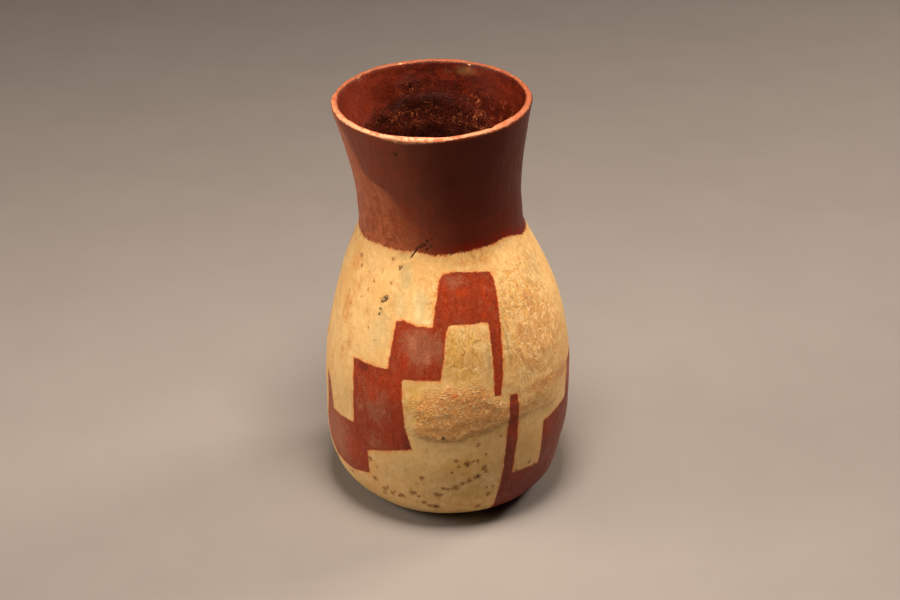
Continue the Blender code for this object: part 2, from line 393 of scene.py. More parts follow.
# Brown specks, and the blackest marks: girth, height, size
SPECKS = (
    (4, 39, 1.1), (9, 37, 1.6), (12, 38, 0.8), (14, 38, 1), (17, 34, 1.4), (18, 41, 0.9), (18, 32, 1),
    (14, 29.5, 1.7), (10, 28, 1.3), (7, 26.5, 1.2), (4, 24, 1.6), (-2, 24, 1.1), (0, 23.5, 0.8),
    (-5, 20, 1.5), (-3, 20, 0.9), (-12, 29, 1.3), (-17, 19.5, 1.6), (-14, 18, 0.9), (-23, 16, 1.4),
    (-25, 15, 1), (-29, 15.5, 1.3), (-33, 16.5, 1.4), (-31, 18.5, 1.1), (-27, 17.5, 0.8), (-12, 14, 1.4),
    (-6, 11.5, 1.9), (-9, 12, 1.3), (20, 18, 1.3), (22, 22, 1), (19, 22.5, 0.8), (16, 10.5, 1.5),
    (2, 33, 0.9), (5, 36, 0.9), (-33.4, 125.8, 0.9), (-61.7, 121.1, 1.1), (-58.5, 117.6, 0.9),
    (-44.8, 114.5, 0.8), (-32, 116.3, 0.8), (-65, 104.5, 0.7), (-48, 110, 0.6), (-52, 106, 0.6),
    (-60, 100, 0.7), (-43, 95, 0.6), (-38, 91, 0.6), (25, 49, 0.9), (14, 46.5, 1.1), (42.1, 29, 1),
    (45.5, 25.5, 1.3), (34.5, 27.5, 0.9), (-22, 94, 0.5),
)
BLACK_SPECKS = (
    (-33.2, 110.2, 1), (-34.3, 109.4, 1.2), (-35.6, 108.3, 1), (-37, 108.4, 0.7), (-36.5, 105, 0.8),
    (-37, 102.6, 0.7), (-35.5, 103.2, 0.6), (-27.5, 123, 0.7), (-26.4, 123.8, 0.6), (-1.6, 51.3, 0.9),
    (-13.5, 133.4, 0.8), (-10.5, 134.6, 1), (-8, 136.2, 0.8), (-6, 134, 0.7), (-9, 132.6, 0.8),
    (-4.5, 137.6, 0.6), (9, 36.6, 0.8), (14, 29.5, 0.8), (-6, 11.5, 0.9), (-21.1, 177.8, 0.7),
)
LOOSE_SPECKS = 90
# The crust's lower and upper edges: girth, height. Its left end fades in and its right end fades out.
CRUST_LOWER = (
    (-24, 62), (-21, 57), (-16, 53), (-10, 50.5), (-3, 50), (6, 50.5), (15, 53), (27, 55), (43, 55.5),
    (56, 54), (80, 56),
)
CRUST_UPPER = (
    (-24, 74), (-12, 72.5), (-3, 75), (6, 77.5), (15, 77), (25, 68), (32, 67), (41, 69), (52, 72), (80, 76),
)
CRUST_GIRTHS = (-22.0, -8.0, 52.0, 72.0)
CRUST_THIN_FROM = (26.0, 38.0)
CRUST_HEIGHT = 0.30
# Pits on the outside: girth, height, size, depth
PITS = (
    (-21.1, 177.8, 0.8, 0.50), (0, 174, 0.8, 0.25), (-38, 156, 0.7, 0.25), (-34.5, 109, 1.2, 0.35),
    (-39, 146, 0.8, 0.25), (-29, 141, 0.7, 0.20), (4, 24, 1.2, 0.3), (14, 29.5, 1.2, 0.3),
    (120, 165, 1, 0.4), (-150, 150, 0.9, 0.4), (100, 90, 1.3, 0.4), (-110, 60, 1.2, 0.4),
    (170, 100, 1.5, 0.5), (-165, 35, 1.4, 0.5), (140, 50, 1.2, 0.4),
)
# Nicks in the lip and places where its slip has chipped to pale clay: girth, run from the crest, size, depth
NICKS = (
    (-103, -1, 1.3, 0.6), (-97, -2.5, 1.2, 0.5), (-84, -2.8, 1.4, 0.7), (-71.5, -1.5, 1.1, 0.6),
    (-62, -3, 1, 0.3), (-21, -2.5, 2.6, 0.30), (-8, -2, 2, 0.25), (38, 1.5, 1.4, 0.4), (122, 0.5, 1.5, 0.4),
    (156, 1.8, 1.6, 0.4), (-160, 1, 1.8, 0.35), (-128, 2, 1.4, 0.4),
)
CRACK_START = (-13.5, 134.0)
CRACK_END = (-21.0, 127.0)
CRACK_DEPTH = 0.30
CRACK_HALF_WIDTH = 0.6
# Patches in the throat: girth, run from the crest, half girth, half run, strength
# Darker patches in the throat; the last, all round deep inside, is painted shade
THROAT_DARK_PLACES = (
    (-160, 19.5, 22, 4.5, 1), (178, 18.5, 16, 4, 1), (-138, 24, 12, 5, 0.8), (-175, 33, 28, 5, 1),
    (165, 22, 12, 3, 0.7), (-165, 11, 8, 3.5, 0.5), (0, 60, 400, 12, 1),
)
# Painted glints: bright strokes for light caught on the crumbs
GLINT_PLACES = (
    (-165, 24.5, 26, 4.5, 0.7), (165, 28, 20, 6, 0.6), (140, 26, 20, 8, 0.8), (116, 22, 14, 7, 1),
    (-163, 12.5, 8, 3, 0.6), (150, 17, 8, 2.5, 0.8), (-112, 20, 14, 10, 0.35),
)
# Painted light inside the neck: on its left wall, and near the lip at the back and the right
PAINTED_LIGHT_INSIDE_PLACES = (
    (-105, 14, 34, 16, 1), (-140, 5, 20, 5, 0.5), (120, 8, 24, 6, 0.5),
)
SMUDGE_PLACES = (
    (158, 4.8, 9, 2.2, 1), (170, 5.5, 7, 2, 0.6), (-178, 6, 8, 2.5, 0.3),
)
ROUGH_STRIP = (-163.0, 11.5, 8.0, 3.5, 0.8)
ROUGH_INSIDE_FROM = 16.0
LIP_WORN_GIRTH = -16.0
LIP_HIGHLIGHT_GIRTH = -22.0
LATTICE = 64


def lumps(points, size, seed):
    """Smooth random numbers from -1 to 1: seeded values at the corners of a cubic lattice of that size,
    blended across each cube by smooth weights."""
    cell = points / size
    base = np.floor(cell).astype(int)
    share = cell - base
    share = share * share * (3.0 - 2.0 * share)
    values = np.random.default_rng(seed).uniform(-1.0, 1.0, (LATTICE, LATTICE, LATTICE))
    total = np.zeros(points.shape[:-1])
    for corner in itertools.product((0, 1), repeat=3):
        weight = np.where(corner, share, 1.0 - share).prod(axis=-1)
        near = (base + corner) % LATTICE
        total += weight * values[near[..., 0], near[..., 1], near[..., 2]]
    return total


def away_from(place_girth, place_height):
    """Distance over the outside from a place, in millimetres, and far for the inside."""
    across = half_turn(girth - place_girth) * per_degree
    return np.where(outside, np.hypot(across, height - place_height), -FAR_OUTSIDE)


def soft_places(places, level):
    """How much each place belongs to a set of soft round patches: each is a bell in the girth and the level,
    which is the height outside and the run inside, and the strongest counts."""
    total = np.zeros(wall.shape[:2])
    for place_girth, place_level, half_girth, half_level, strength in places:
        turn = half_turn(girth - place_girth) / half_girth
        climb = (level - place_level) / half_level
        total = np.maximum(total, strength * np.exp(-(turn**2) - climb**2))
    return total


def between(value, low, high):
    """0 below low, 1 above high, and smooth between them."""
    share = np.clip((value - low) / (high - low), 0.0, 1.0)
    return share * share * (3.0 - 2.0 * share)


def bell(value, middle, half_width):
    """1 at the middle, falling smoothly to 0 on both sides."""
    return np.exp(-(((value - middle) / half_width) ** 2))


def crust_cover(lower):
    """1 on the crusted patch. Its lower edge is a step, and its upper edge and its ends fade out."""
    upper = np.interp(girth, *np.array(CRUST_UPPER).T) + 3.0 * lumps(wall, 6.0, 12)
    left, full, fading, right = CRUST_GIRTHS
    ends = between(girth + 5.0 * lumps(wall, 6.0, 18), left, full) * (1.0 - between(girth, fading, right))
    cover = between(height, lower - 0.3, lower + 0.6) * (1.0 - between(height, upper - 6.0, upper + 4.0))
    return np.where(outside, cover * ends * (1.0 - 0.55 * between(girth, *CRUST_THIN_FROM)), 0.0)


def unseen_patches(seed):
    """Patches of tone for the side that the photograph doesn't show, at seeded places."""
    draw = np.random.default_rng(seed).uniform
    low, high = UNSEEN_SIDE
    spans = ((low, high), (20.0, 170.0), (6.0, 14.0), (5.0, 14.0), (0.25, 0.6))
    return tuple(tuple(draw(*span) for span in spans) for _ in range(UNSEEN_PATCHES))


crust_lower = np.interp(girth, *np.array(CRUST_LOWER).T) + 0.9 * lumps(wall, 3.0, 11)
crust = crust_cover(crust_lower)
# A painted shadow just below the crust's raised lower edge
crust_shadow_line = bell(height, crust_lower - 0.5, 0.55) * outside
crust_shadow_line *= between(girth, CRUST_GIRTHS[0], CRUST_GIRTHS[1]) * (1.0 - between(girth, 30.0, 44.0))
ridges = 1.0 - 2.0 * np.abs(lumps(wall * (1.0, 1.0, 1.3) + 1.2 * lumps(wall, 5.0, 20)[..., None], 4.2, 6))

tones = {}
for order, (name, places) in enumerate(TONES.items()):
    if name not in SEEN_ONLY:
        places += unseen_patches(UNSEEN_SEED + order)
    tones[name] = np.where(outside, soft_places(places, height), 0.0)

chance = np.random.default_rng(31)
specks = list(SPECKS)
for _ in range(LOOSE_SPECKS):
    place = (chance.uniform(60.0, 330.0), 12.0 + 70.0 * chance.beta(1.1, 3.0))
    specks.append((*place, chance.uniform(0.6, 1.5)))
speck_cover, black_cover = (
    np.max([np.clip(1.0 - away_from(g, h) / (2.0 * size), 0.0, 1.0) for g, h, size in places], axis=0)
    for places in (specks, BLACK_SPECKS)
)

crack_run = (np.array(CRACK_END) - CRACK_START) * (np.radians(1.0) * NECK_RADIUS, 1.0)
crack_length = np.hypot(*crack_run)
crack_way = crack_run / crack_length
crack_x = (girth - CRACK_START[0]) * per_degree
crack_y = height - CRACK_START[1]
crack_along = (crack_x * crack_way[0] + crack_y * crack_way[1]) / crack_length
crack_side = crack_y * crack_way[0] - crack_x * crack_way[1] + 0.5 * lumps(wall, 3.0, 13)
crack_side = np.where(outside & (np.abs(girth) < 60.0), crack_side, FAR_OUTSIDE)

# The throat's rough zone begins nearest the lip at the back, and deeper at the right and the front.
from_back = 180.0 - np.abs(girth)
rough_edge = ROUGH_INSIDE_FROM + 9.0 * np.clip(from_back / 75.0, 0.0, 1.5) ** 2 + 4.0 * lumps(wall, 8.0, 14)
rough_edge += 9.0 * bell(girth, 128.0, 30.0)
rough_inside = np.maximum(between(run, rough_edge - 4.0, rough_edge + 7.0), soft_places((ROUGH_STRIP,), run))
rough_inside = np.where(outside, 0.0, rough_inside)
throat = {
    name: np.where(outside, 0.0, soft_places(places, run))
    for name, places in (
        ("throat_dark", THROAT_DARK_PLACES),
        ("glints", GLINT_PLACES),
        ("smudge", SMUDGE_PLACES),
        ("painted_light_inside", PAINTED_LIGHT_INSIDE_PLACES),
    )
}
# The neck is painted lighter at its left and darker from the front to the right: painted light and shade.
turn_heights, turn_girths = np.array(NECK_SHADOW_EDGE).T
past_turn = girth - np.interp(height, turn_heights, turn_girths)
turn_softness = 2.5 + 0.85 * np.maximum(TURN_SOFT_BELOW - height, 0.0)
neck_painted_light = 1.0 - between(past_turn + 3.0 * lumps(wall, 12.0, 21), -turn_softness, turn_softness)
neck_painted_light *= between(girth, NECK_PAINTED_LIGHT_FROM, NECK_PAINTED_LIGHT_FROM + NECK_PAINTED_LIGHT_FADE)
slanted = girth + 0.25 * (height - 150.0) + 4.0 * lumps(wall, 14.0, 22)
neck_painted_shade = between(slanted, NECK_PAINTED_SHADE_FROM, NECK_PAINTED_SHADE_FULL) * (1.0 - between(girth, *NECK_PAINTED_SHADE_BACK))
# The lip's slip is rubbed through to orange, further down at the left of the front.
lip_worn = bell(girth, LIP_WORN_GIRTH, 20.0)
lip_reach = 1.5 + 1.6 * lip_worn + 0.5 * lumps(wall, 9.0, 19)
lip_depth = lip_reach - np.abs(run + 0.8 * lip_worn)
# The lip is paler at its front and left: rubbed slip with a painted highlight over it
lip_highlight_and_wear = bell(girth, LIP_HIGHLIGHT_GIRTH, 62.0) * bell(run, -1.0, 1.7)
chips = soft_places(tuple((g, r, 1.6 * size, 0.6 * size, 0.8) for g, r, size, _ in NICKS), run)


def relief():
    """How far the worn surface stands out from the even wall, in millimetres: facets and strokes of the
    scraping, ridges and crumbs on the crust and in the throat, and hollows at the pits, the nicks and the
    crack."""
    strokes = wall * (1.0, 1.0, 0.15)
    lip = bell(run, 0.0, 4.0)
    out = 0.34 * lumps(wall, 24.0, 1) + 0.16 * lumps(wall, 9.0, 2) + 0.09 * lumps(strokes, 4.0, 3)
    out += lip * (0.34 * lumps(wall, 12.0, 4) + 0.18 * lumps(wall, 4.0, 5))
    out += crust * (CRUST_HEIGHT + 0.16 * ridges + 0.10 * lumps(wall, 2.4, 7))
    out += tones["tan"] * (0.10 * lumps(wall, 3.0, 8) + 0.10 * lumps(strokes, 2.0, 9))
    out += rough_inside * (0.45 * lumps(wall, 6.0, 15) + 0.25 * lumps(wall, 3.2, 16))
    for place_girth, place_height, size, depth in PITS:
        out -= depth * bell(away_from(place_girth, place_height), 0.0, size)
    for place_girth, place_run, size, depth in NICKS:
        across = half_turn(girth - place_girth) * per_degree
        out -= depth * bell(across, 0.0, size) * bell(run, place_run, size)
    crack = bell(crack_side, 0.0, CRACK_HALF_WIDTH) * between(crack_along, 0.0, 0.3)
    out -= CRACK_DEPTH * crack * (1.0 - between(crack_along, 0.8, 1.05))
    # The foot stays flat where it stands.
    return out * np.where(outside, between(height, 0.2, 5.0), 1.0)


def outward(points):
    """Unit normals of the grid, from its slopes along the rows and round the girth."""
    up = np.gradient(points, axis=0)
    across = np.roll(points, -1, axis=1) - np.roll(points, 1, axis=1)
    normal = np.cross(across, up)
    return normal / np.linalg.norm(normal, axis=-1, keepdims=True)


def closed_grid(name, points):
    """A mesh from rows of points round an axis, closed by a fan at each end."""
    rows, columns = points.shape[:2]
    ends = [points[0].mean(axis=0), points[-1].mean(axis=0)]
    ring = np.arange(columns)
    turned = np.roll(ring, -1)
    start = np.arange(rows - 1)[:, None] * columns
    above = start + columns
    quads = np.stack([start + ring, start + turned, above + turned, above + ring], axis=-1)
    first = np.stack([np.full(columns, rows * columns), turned, ring], axis=-1)
    last = np.stack([np.full(columns, rows * columns + 1), ring, turned], axis=-1)
    last[:, 1:] += (rows - 1) * columns
    mesh = bpy.data.meshes.new(name)
    mesh.from_pydata(
        (np.concatenate([points.reshape(-1, 3), ends]) * MILLIMETRE).tolist(),
        [],
        quads.reshape(-1, 4).tolist() + first.tolist() + last.tolist(),
    )
    mesh.shade_smooth()
    return mesh


jug_mesh = closed_grid("slipped_jug", wall + outward(wall) * relief()[..., None])
for name, values in {
    "neck_depth": neck_depth,
    "band_depth": band_depth,
    "inside": np.where(outside, 0.0, 1.0),
    "crust": crust,
    "ridges": ridges,
    "specks": speck_cover,
    "black_specks": black_cover,
    "crack_side": crack_side,
    "crack_along": crack_along,
    "rough_inside": rough_inside,
    "lip_depth": lip_depth,
    "lip_highlight_and_wear": lip_highlight_and_wear,
    "neck_painted_light": neck_painted_light,
    "neck_painted_shade": neck_painted_shade,
    "crust_shadow_line": crust_shadow_line,
    "chips": chips,
    **tones,
    **throat,
}.items():
    kept = jug_mesh.attributes.new(name, "FLOAT", "POINT")
    with_ends = np.concatenate([values.ravel(), values[0, :1], values[-1, :1]])
    kept.data.foreach_set("value", with_ends.astype(np.float32))
jug = bpy.data.objects.new("slipped_jug", jug_mesh)
bpy.context.scene.collection.objects.link(jug)
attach(jug, "root")
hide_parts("jug")

# The fired surface
# Cream slip over brown clay, burnished upright with a pebble. The red slip lies on it with a brushed edge
# that is thin and orange outside and dark inside, and it is nearly black where it lies thickest.
# Inside the neck the red is painted nearly black as shade, and the neck outside has painted light and shade.
CREAM = (0.84, 0.585, 0.248, 1.0)
CREAM_DEEP = (0.72, 0.40, 0.115, 1.0)
CREAM_PALE = (0.92, 0.71, 0.36, 1.0)
CREAM_WHITE = (0.66, 0.56, 0.28, 1.0)
# The belly's painted highlight
CREAM_HIGHLIGHT = (0.92, 0.75, 0.38, 1.0)
CREAM_GREY = (0.50, 0.39, 0.175, 1.0)
BLUSH = (0.68, 0.31, 0.09, 1.0)
TAN = (0.62, 0.30, 0.11, 1.0)
OCHRE = (0.72, 0.45, 0.095, 1.0)
# Brown for veins and dust, and for the painted shadow under the crust
VEIN_AND_SHADE = (0.40, 0.19, 0.06, 1.0)
# The crust: its crests carry a painted highlight and its cracks painted shade
CRUST_CREST_HIGHLIGHT = (1.0, 0.72, 0.36, 1.0)
CRUST_MIDDLE = (0.93, 0.485, 0.150, 1.0)
CRUST_CRACK_SHADE = (0.42, 0.16, 0.045, 1.0)
CRUST_HOLLOW = (0.68, 0.29, 0.085, 1.0)
HALO = (0.84, 0.32, 0.09, 1.0)
SMEAR = (0.80, 0.22, 0.065, 1.0)
RED = (0.33, 0.048, 0.015, 1.0)
RED_BRIGHT = (0.44, 0.050, 0.0105, 1.0)
RED_DUSTY = (0.400, 0.145, 0.077, 1.0)
RED_DARK = (0.200, 0.030, 0.013, 1.0)
RUBBED = (0.60, 0.235, 0.125, 1.0)
RED_DEEP = (0.130, 0.012, 0.004, 1.0)
FLECK = (0.64, 0.130, 0.034, 1.0)
NECK = (0.205, 0.047, 0.019, 1.0)
# The neck's red with painted light, and with painted shade
NECK_PAINTED_LIGHT = (0.445, 0.124, 0.045, 1.0)
NECK_PAINTED_SHADE = (0.106, 0.0172, 0.0066, 1.0)
NECK_RED = (0.26, 0.040, 0.012, 1.0)
CRIMSON = (0.17, 0.011, 0.004, 1.0)
# The red inside the neck, painted dark as shade, its lighter brushing, and its painted light
RED_INSIDE_SHADED = (0.040, 0.0037, 0.0010, 1.0)
INSIDE_LIGHT = (0.088, 0.0100, 0.0028, 1.0)
INSIDE_PAINTED_LIGHT = (0.150, 0.019, 0.006, 1.0)
LIP_ORANGE = (0.255, 0.076, 0.034, 1.0)
LIP_RED = (0.30, 0.070, 0.030, 1.0)
# Paler rubbed slip with a painted highlight, for the lip's front and left
LIP_HIGHLIGHT_AND_WEAR = (0.88, 0.39, 0.22, 1.0)
CHIP = (0.72, 0.42, 0.22, 1.0)
STAIN = (0.30, 0.105, 0.018, 1.0)
# Near black: for black marks and the crack, and for painted shade deep in the throat
SOOT_AND_SHADE = (0.012, 0.003, 0.002, 1.0)
DARK_THROAT = (0.020, 0.006, 0.0045, 1.0)
CRUMB = (0.085, 0.016, 0.009, 1.0)
# The colour of the painted glints
GLINT = (0.56, 0.175, 0.065, 1.0)
SMUDGE = (0.16, 0.080, 0.030, 1.0)
CREAM_TONES = (
    ("ochre", OCHRE, 0.8),
    ("grey", CREAM_GREY, 0.75),
    ("blush", BLUSH, 0.7),
    ("tan", TAN, 0.85),
    # Paler slip, and a painted highlight high on the front
    ("pale", CREAM_WHITE, 0.9),
)
RED_TONES = (
    ("dusty_red", RED_DUSTY, 0.9),
    ("bright_red", RED_BRIGHT, 0.9),
    ("dark_red", RED_DARK, 0.95),
)
HALO_REACH = 0.8
SHEEN = 0.20
TO_MILLIMETRES = (1000.0, 1000.0, 1000.0)
ALONG_STROKES = (1000.0, 1000.0, 120.0)
WAVER = (5.0, 5.0, 0.0)
ROUND_STROKES = (400.0, 400.0, 1000.0)


def put(tree, kind, inputs, **settings):
    """Adds a shader node, sets each of its inputs to a value or links it to another node's output."""
    made = tree.nodes.new(kind)
    for name, value in settings.items():
        setattr(made, name, value)
    for key, value in inputs.items():
        if isinstance(value, bpy.types.NodeSocket):
            tree.links.new(value, made.inputs[key])
        else:
            made.inputs[key].default_value = value
    return made


def combine(tree, operation, first, second):
    return put(tree, "ShaderNodeMath", {0: first, 1: second}, operation=operation).outputs[0]


def product(tree, first, *others):
    for other in others:
        first = combine(tree, "MULTIPLY", first, other)
    return first


def lay(tree, base, colour, *shares):
    """Lays a colour over the base, as strongly as the product of its shares."""
    inputs = {0: product(tree, *shares), 6: base, 7: colour}
    return put(tree, "ShaderNodeMix", inputs, data_type="RGBA").outputs[2]


def spread(tree, value, low, high, to_low=0.0, to_high=1.0):
    """value from low to high becomes to_low to to_high, smoothly, and stays there beyond."""
    inputs = {0: value, 1: low, 2: high, 3: to_low, 4: to_high}
    return put(tree, "ShaderNodeMapRange", inputs, interpolation_type="SMOOTHSTEP").outputs[0]


def thin_lines(tree, noise, middle, low, high):
    """1 where a noise is within low of the middle and 0 beyond high, which draws thin curving lines."""
    off = combine(tree, "ABSOLUTE", combine(tree, "SUBTRACT", noise, middle), 0.0)
    return spread(tree, off, low, high, 1.0, 0.0)


def broken_up(tree, value, noise, uneven, low, high, strength=1.0):
    """Where a value is high, with an edge that a noise breaks up."""
    off = product(tree, combine(tree, "SUBTRACT", noise, 0.5), uneven)
    return spread(tree, combine(tree, "ADD", value, off), low, high, 0.0, strength)


def grain(tree, where, scale, detail=3.0, roughness=0.55, distortion=0.0):
    inputs = {"Vector": where, "Scale": scale, "Detail": detail, "Roughness": roughness}
    return put(tree, "ShaderNodeTexNoise", {**inputs, "Distortion": distortion}).outputs[0]


def kept_value(tree, name):
    return put(tree, "ShaderNodeAttribute", {}, attribute_name=name).outputs["Fac"]


def scaled_place(tree, scale):
    place = put(tree, "ShaderNodeTexCoord", {}).outputs["Object"]
    return put(tree, "ShaderNodeVectorMath", {0: place, 1: scale}, operation="MULTIPLY").outputs[0]


def ragged_edge_group():
    """A node group that turns a depth within an outline into a mask, with an edge that wanders as a brush
    does."""
    group = bpy.data.node_groups.new("ragged_edge", "ShaderNodeTree")
    for name, value in (("Depth", 0.0), ("Wander", 0.4), ("Fray", 0.25), ("Softness", 0.15)):
        socket = group.interface.new_socket(name, in_out="INPUT", socket_type="NodeSocketFloat")
        socket.default_value = value
    group.interface.new_socket("Mask", in_out="OUTPUT", socket_type="NodeSocketFloat")
    given = group.nodes.new("NodeGroupInput").outputs
    place = scaled_place(group, TO_MILLIMETRES)
    wander = combine(group, "SUBTRACT", grain(group, place, 0.22, 2.0), 0.5)
    fray = combine(group, "SUBTRACT", grain(group, place, 1.3, 3.0, 0.7), 0.5)
    depth = combine(group, "ADD", given["Depth"], product(group, wander, given["Wander"]))
    depth = combine(group, "ADD", depth, product(group, fray, given["Fray"]))
    low = product(group, given["Softness"], -1.0)
    put(group, "NodeGroupOutput", {0: spread(group, depth, low, given["Softness"])})
    return group


def slip_grains(tree):
    """The noises that the slips share. Strokes and hatch run up the wall and waver a little."""
    place = scaled_place(tree, TO_MILLIMETRES)
    waver = put(tree, "ShaderNodeTexNoise", {"Vector": place, "Scale": 0.13, "Detail": 2.0}).outputs["Color"]
    waver = put(tree, "ShaderNodeVectorMath", {0: waver, 1: WAVER}, operation="MULTIPLY").outputs[0]
    upright = put(tree, "ShaderNodeVectorMath", {0: scaled_place(tree, ALONG_STROKES), 1: waver}).outputs[0]
    curls = grain(tree, place, 0.38, 1.0, 0.5, 1.0)
    broken = spread(tree, grain(tree, place, 0.55, 1.0, 0.5), 0.46, 0.54)
    return SimpleNamespace(
        strokes=grain(tree, upright, 0.45, 3.0, 0.6),
        hatch=grain(tree, upright, 0.85, 2.0, 0.55, 0.2),
        clouds=grain(tree, place, 0.05, 4.0, 0.6),
        patches=grain(tree, place, 0.14, 3.0, 0.6, 0.8),
        mottle=grain(tree, place, 0.33, 5.0, 0.65, 0.6),
        speckle=grain(tree, place, 1.5, 3.0, 0.6),
        crumbs=grain(tree, place, 0.62, 4.0, 0.60, 1.6),
        curls=curls,
        crests=product(tree, thin_lines(tree, curls, 0.5, 0.020, 0.080), broken),
        strewn=spread(tree, grain(tree, place, 0.26, 1.0, 0.5), 0.50, 0.54),
        brushed=grain(tree, scaled_place(tree, ROUND_STROKES), 0.30, 4.0, 0.6, 0.8),
    )


def slip_masks(tree, grains):
    """Where the red slip, its orange halo, the worn lip, the specks and the crack are."""
    brush = ragged_edge_group()

    def edge(depth, wander, fray, softness):
        inputs = {"Depth": depth, "Wander": wander, "Fray": fray, "Softness": softness}
        return put(tree, "ShaderNodeGroup", inputs, node_tree=brush).outputs[0]

    def speckled(name, share, low, high):
        roughened = combine(tree, "ADD", kept_value(tree, name), product(tree, grains.speckle, share))
        return spread(tree, roughened, low, high)

    bands, neck = kept_value(tree, "band_depth"), kept_value(tree, "neck_depth")
    neck_on = edge(neck, 1.8, 3.6, 0.35)
    near_red = combine(tree, "ADD", combine(tree, "MAXIMUM", bands, neck), HALO_REACH)
    crack_side = combine(tree, "ABSOLUTE", kept_value(tree, "crack_side"), 0.0)
    crack_along = kept_value(tree, "crack_along")
    return SimpleNamespace(
        red=combine(tree, "MAXIMUM", edge(bands, 1.2, 1.5, 0.25), neck_on),
        neck=neck_on,
        halo=edge(near_red, 1.2, 2.2, 0.8),
        lip=edge(kept_value(tree, "lip_depth"), 0.6, 1.4, 0.5),
        specks=speckled("specks", 1.3, 0.95, 1.45),
        black_specks=speckled("black_specks", 1.8, 1.30, 1.55),
        crack=product(
            tree,
            spread(tree, crack_side, 0.10, 0.36, 1.0, 0.0),
            spread(tree, crack_along, 0.0, 0.3),
            spread(tree, crack_along, 0.75, 1.05, 1.0, 0.0),
        ),
    )


def toned(tree, grains, base, name, tone, strength=1.0, low=0.15, high=0.75, uneven=1.0):
    """Lays a tone where its patches are strong, with mottled edges."""
    share = broken_up(tree, kept_value(tree, name), grains.mottle, uneven, low, high, strength)
    return lay(tree, base, tone, share)


def cream_slip(tree, grains):
    """The cream with its patches of tone and painted highlight, its mottling, its upright streaks and its
    thin brown veins.
    """
    cream = lay(tree, CREAM, CREAM_DEEP, spread(tree, grains.clouds, 0.38, 0.62, 0.0, 0.45))
    for name, tone, strength in CREAM_TONES:
        cream = toned(tree, grains, cream, name, tone, strength)
    # A painted highlight high on the belly
    cream = toned(tree, grains, cream, "cream_highlight", CREAM_HIGHLIGHT, 0.75, 0.3, 0.9, 2.0)
    streaky = kept_value(tree, "streaky")
    uneven = spread(tree, streaky, 0.3, 1.0, 0.28, 0.50)
    cream = lay(tree, cream, CREAM_DEEP, spread(tree, grains.mottle, 0.52, 0.62), uneven)
    cream = lay(tree, cream, CREAM_PALE, spread(tree, grains.mottle, 0.38, 0.47, 1.0, 0.0), uneven)
    streaked = spread(tree, streaky, 0.0, 1.0, 0.16, 0.85)
    cream = lay(tree, cream, CREAM_DEEP, spread(tree, grains.strokes, 0.50, 0.62), streaked, 0.9)
    hatched = spread(tree, grains.hatch, 0.38, 0.50, 1.0, 0.0)
    mottled = spread(tree, grains.mottle, 0.42, 0.58, 0.35, 1.0)
    patchy = spread(tree, grains.patches, 0.42, 0.56, 0.15, 1.0)
    cream = lay(tree, cream, VEIN_AND_SHADE, hatched, streaked, mottled, patchy, 0.7)
    lighter = spread(tree, grains.patches, 0.44, 0.58, 0.6, 0.2)
    cream = lay(tree, cream, CREAM_PALE, spread(tree, grains.hatch, 0.54, 0.64), streaked, lighter)
    veins = thin_lines(tree, grains.mottle, 0.5, 0.0, 0.03)
    broken = spread(tree, grains.speckle, 0.45, 0.60)
    return lay(tree, cream, VEIN_AND_SHADE, veins, broken, spread(tree, kept_value(tree, "tan"), 0.0, 0.5, 0.20, 0.8))


def crusted(tree, grains, cream):
    """The cream with its crust: a lumpy brown ground, darker in its hollows, with thin cracks in painted
    shade and crests in a painted highlight, a painted shadow along its lower edge, and one smear of red
    above it."""
    crust = lay(tree, CRUST_HOLLOW, CRUST_MIDDLE, spread(tree, grains.crumbs, 0.38, 0.58))
    crust = lay(tree, crust, CRUST_HOLLOW, spread(tree, grains.patches, 0.44, 0.54, 0.0, 0.45))
    # Cracks darkened with painted shade, and crests lightened with a painted highlight
    crust = lay(tree, crust, CRUST_CRACK_SHADE, thin_lines(tree, grains.mottle, 0.5, 0.0, 0.035), 0.45)
    crust = lay(tree, crust, CRUST_CREST_HIGHLIGHT, grains.crests, 0.8)
    cover = broken_up(tree, kept_value(tree, "crust"), grains.mottle, 1.6, 0.2, 0.8)
    cream = lay(tree, cream, crust, cover, 0.80)
    uneven = spread(tree, grains.speckle, 0.35, 0.55, 0.25, 0.8)
    # A painted shadow under the crust's lower edge
    cream = lay(tree, cream, VEIN_AND_SHADE, kept_value(tree, "crust_shadow_line"), uneven)
    return toned(tree, grains, cream, "smear", SMEAR, 0.8, 0.3, 1.1)


